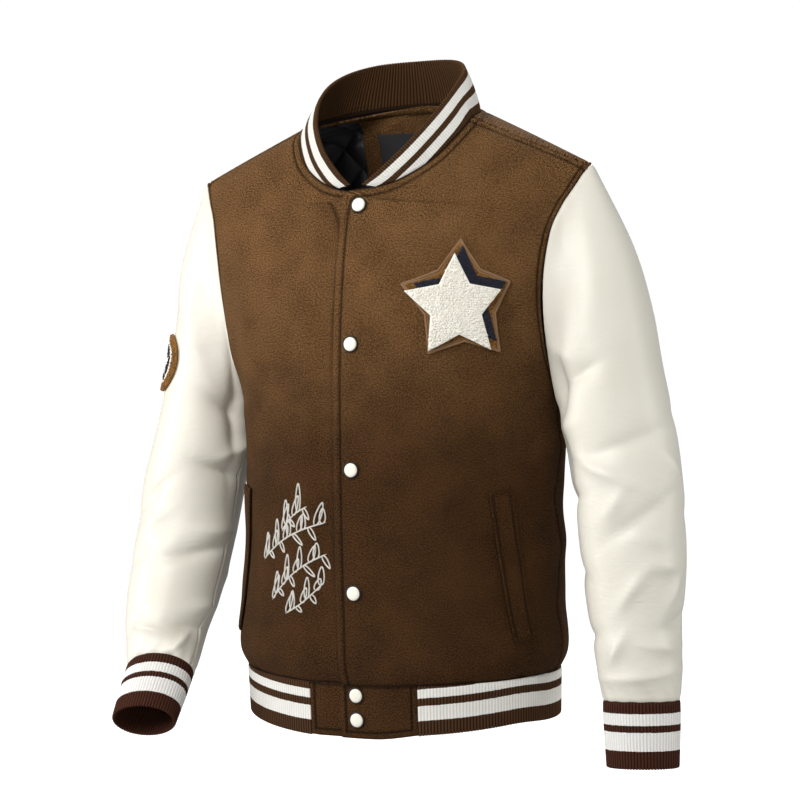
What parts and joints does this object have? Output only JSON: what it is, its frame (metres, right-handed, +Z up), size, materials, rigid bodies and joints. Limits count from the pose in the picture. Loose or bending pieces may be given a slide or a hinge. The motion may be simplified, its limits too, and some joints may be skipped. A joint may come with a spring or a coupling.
{
  "type": "varsity jacket",
  "caption": "Varsity jacket in its worn, hollow shape: brown wool body, cream coated-cloth sleeves, striped rib-knit collar, cuffs and hem, snap front.",
  "frame": {"origin": "middle of the neck, level with the neck ends of the two shoulder seams", "axes": "+Z up along the wearer's spine, -Y to the front, +X to the wearer's left"},
  "size_m": [0.6418, 0.2926, 0.7455],
  "materials": {
    "wool": "matte brown melton wool with a fine twill",
    "coated_cloth": "smooth cream coated cloth, soft satin",
    "rib_knit": "matte rib knit, dark brown with off-white stripes",
    "snap": "cream snap cap in a dark metal rim",
    "chenille_gold": "looped chenille, gold brown",
    "chenille_navy": "looped chenille, near black",
    "chenille_white": "looped chenille, off-white",
    "satin": "black quilted satin lining",
    "label": "bare black woven label"
  },
  "bodies": {
    "root": {"front_left": "wool", "front_right": "wool", "back": "wool", "sleeve_left": "coated_cloth", "sleeve_right": "coated_cloth", "collar": "rib_knit", "cuff_left": "rib_knit", "cuff_right": "rib_knit", "hem_band": "rib_knit", "hem_tab_left": "wool", "hem_tab_right": "wool", "welt_left": "wool", "welt_right": "wool", "snap_1": "snap", "snap_2": "snap", "snap_3": "snap", "snap_4": "snap", "snap_5": "snap", "snap_6": "snap", "patch_backing": "chenille_gold", "patch_shadow": "chenille_navy", "patch_star": "chenille_white", "sleeve_patch": "chenille_gold", "lining": "satin", "facing_back_neck": "wool", "label": "label"}
  },
  "joints": []
}
